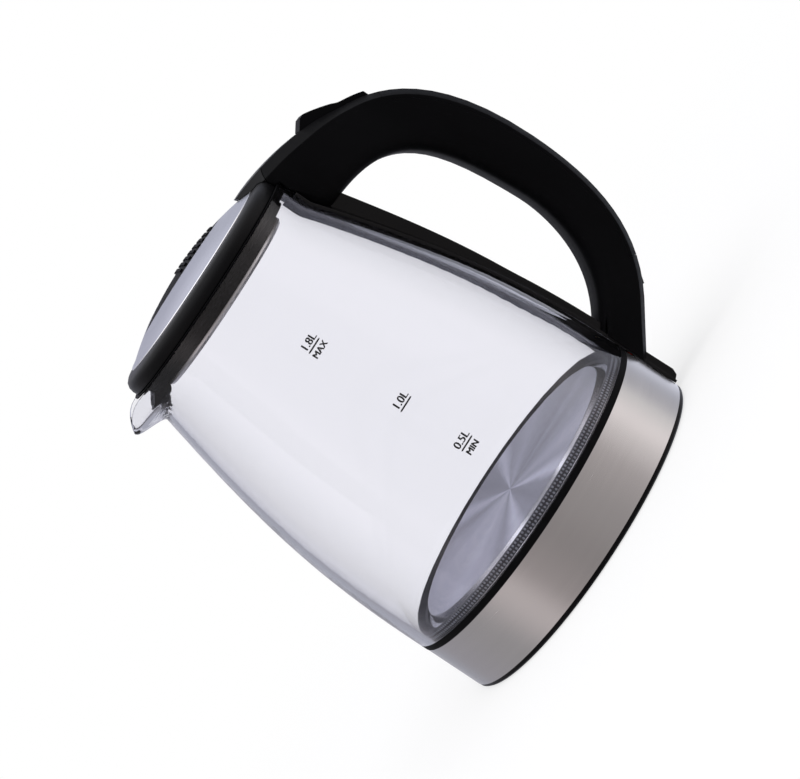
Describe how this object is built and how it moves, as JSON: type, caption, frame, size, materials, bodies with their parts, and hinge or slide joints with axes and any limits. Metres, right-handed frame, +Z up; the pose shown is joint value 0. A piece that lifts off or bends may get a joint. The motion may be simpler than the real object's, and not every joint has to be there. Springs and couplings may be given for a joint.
{
  "type": "electric kettle",
  "caption": "Cordless glass electric kettle jug with a steel foot band, black loop handle, domed hinged lid, lid button and rocker switch.",
  "frame": {"origin": "on the jug's axis, level with the surface it stands on, at the mouth of the connector's centre socket", "axes": "+Z up along the jug's axis, +X towards the handle, the spout at -X, Y across the handle"},
  "size_m": [0.216, 0.16, 0.215],
  "materials": {
    "clear_glass": "polished clear borosilicate glass",
    "black_plastic": "satin black moulded polypropylene",
    "black_rubber": "satin black silicone",
    "satin_steel": "fine satin stainless steel",
    "liner_steel": "satin stainless steel",
    "plate_steel": "brushed stainless steel",
    "dome_steel": "fine satin stainless steel",
    "mesh_steel": "woven stainless steel",
    "fastener_steel": "zinc-plated steel",
    "spring_steel": "bright spring wire",
    "cast_aluminium": "as cast",
    "element_sheath": "oxidised metal sheath",
    "control_resin": "off-white heat-proof resin",
    "connector_plastic": "black heat-proof resin",
    "contact_brass": "bare brass",
    "clear_silicone": "milky silicone",
    "natural_acetal": "natural acetal",
    "pad_plastic": "semi-gloss black moulding",
    "wire_insulation": "red silicone insulation"
  },
  "bodies": {
    "jug": {"glass_jug": "clear_glass", "base_gasket": "black_rubber", "base_band": "satin_steel", "base_cover": "black_plastic", "base_screws": "fastener_steel", "heating_plate": "plate_steel", "plate_seal": "clear_silicone", "heat_spreader": "cast_aluminium", "heating_element": "element_sheath", "control_unit": "control_resin", "connector": "connector_plastic", "connector_contacts": "contact_brass", "collar": "black_plastic", "collar_gasket": "black_rubber", "spout_filter": "black_plastic", "filter_mesh": "mesh_steel", "handle_strip": "black_plastic", "handle_screws": "fastener_steel", "handle_grip": "black_plastic", "handle_cover": "black_plastic", "hinge_pin": "fastener_steel", "hinge_spring": "spring_steel", "button_spring": "spring_steel", "latch_spring": "spring_steel", "steam_switch": "control_resin", "bimetal_disc": "contact_brass", "switch_pin": "fastener_steel", "switch_wires": "wire_insulation"},
    "lid": {"lid_ring": "black_plastic", "lid_dome": "dome_steel", "lid_grip_pad": "pad_plastic", "lid_plug": "black_plastic", "lid_seal": "clear_silicone", "lid_liner": "liner_steel", "lid_screws": "fastener_steel", "lid_hinge_arm": "black_plastic", "nose_screws": "fastener_steel"},
    "button": {"release_button": "pad_plastic"},
    "latch": {"latch_bolt": "natural_acetal"},
    "rocker": {"power_switch": "pad_plastic"}
  },
  "joints": [
    {"name": "lid_hinge", "type": "hinge", "parent": "jug", "child": "lid", "pos_m": [0.0649, 0, 0.1984], "axis": [0, 1, 0], "range_deg": [0, 75]},
    {"name": "button_press", "type": "slide", "parent": "jug", "child": "button", "axis": [0, 0, -1], "range_m": [0, 0.0022], "stiffness_N_per_m": 400, "springref_m": -0.001, "deforming": ["button_spring"]},
    {"name": "latch_slide", "type": "slide", "parent": "jug", "child": "latch", "axis": [1, 0, 0], "range_m": [0, 0.0022], "stiffness_N_per_m": 200, "springref_m": -0.001, "deforming": ["latch_spring"]},
    {"name": "switch_rock", "type": "hinge", "parent": "jug", "child": "rocker", "pos_m": [0.10741, 0, 0.04712], "axis": [0, 1, 0], "range_deg": [0, 12]}
  ],
  "couplings": [
    {"joint": "latch_slide", "follows": "button_press", "ratio": 1}
  ]
}
